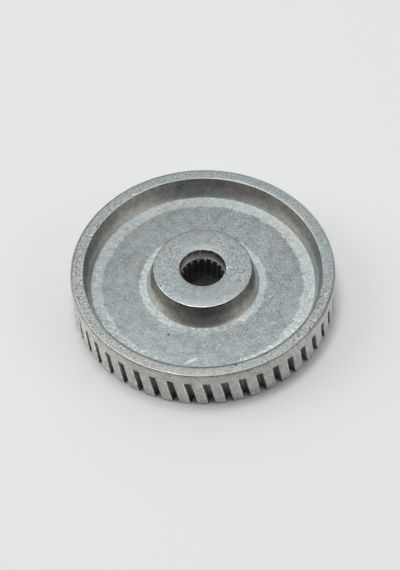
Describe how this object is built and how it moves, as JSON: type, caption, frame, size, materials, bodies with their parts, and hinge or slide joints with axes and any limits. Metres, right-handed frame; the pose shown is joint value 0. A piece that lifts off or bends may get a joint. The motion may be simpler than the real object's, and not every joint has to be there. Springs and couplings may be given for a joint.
{
  "type": "worm wheel",
  "caption": "Cast zinc worm wheel with helical slots in its rim, a recessed web and a raised hub with a splined bore.",
  "frame": {"origin": "on the bore's axis, in the plane of the base that the wheel rests on", "axes": "+Z along the bore's axis from the base to the recessed side, +X to the right and +Y away from the camera as in the picture"},
  "size_m": [0.048, 0.048, 0.0083],
  "materials": {
    "cast_zinc": "as-cast, matt grey with a fine grain"
  },
  "bodies": {
    "root": {"worm_wheel": "cast_zinc"}
  },
  "joints": []
}
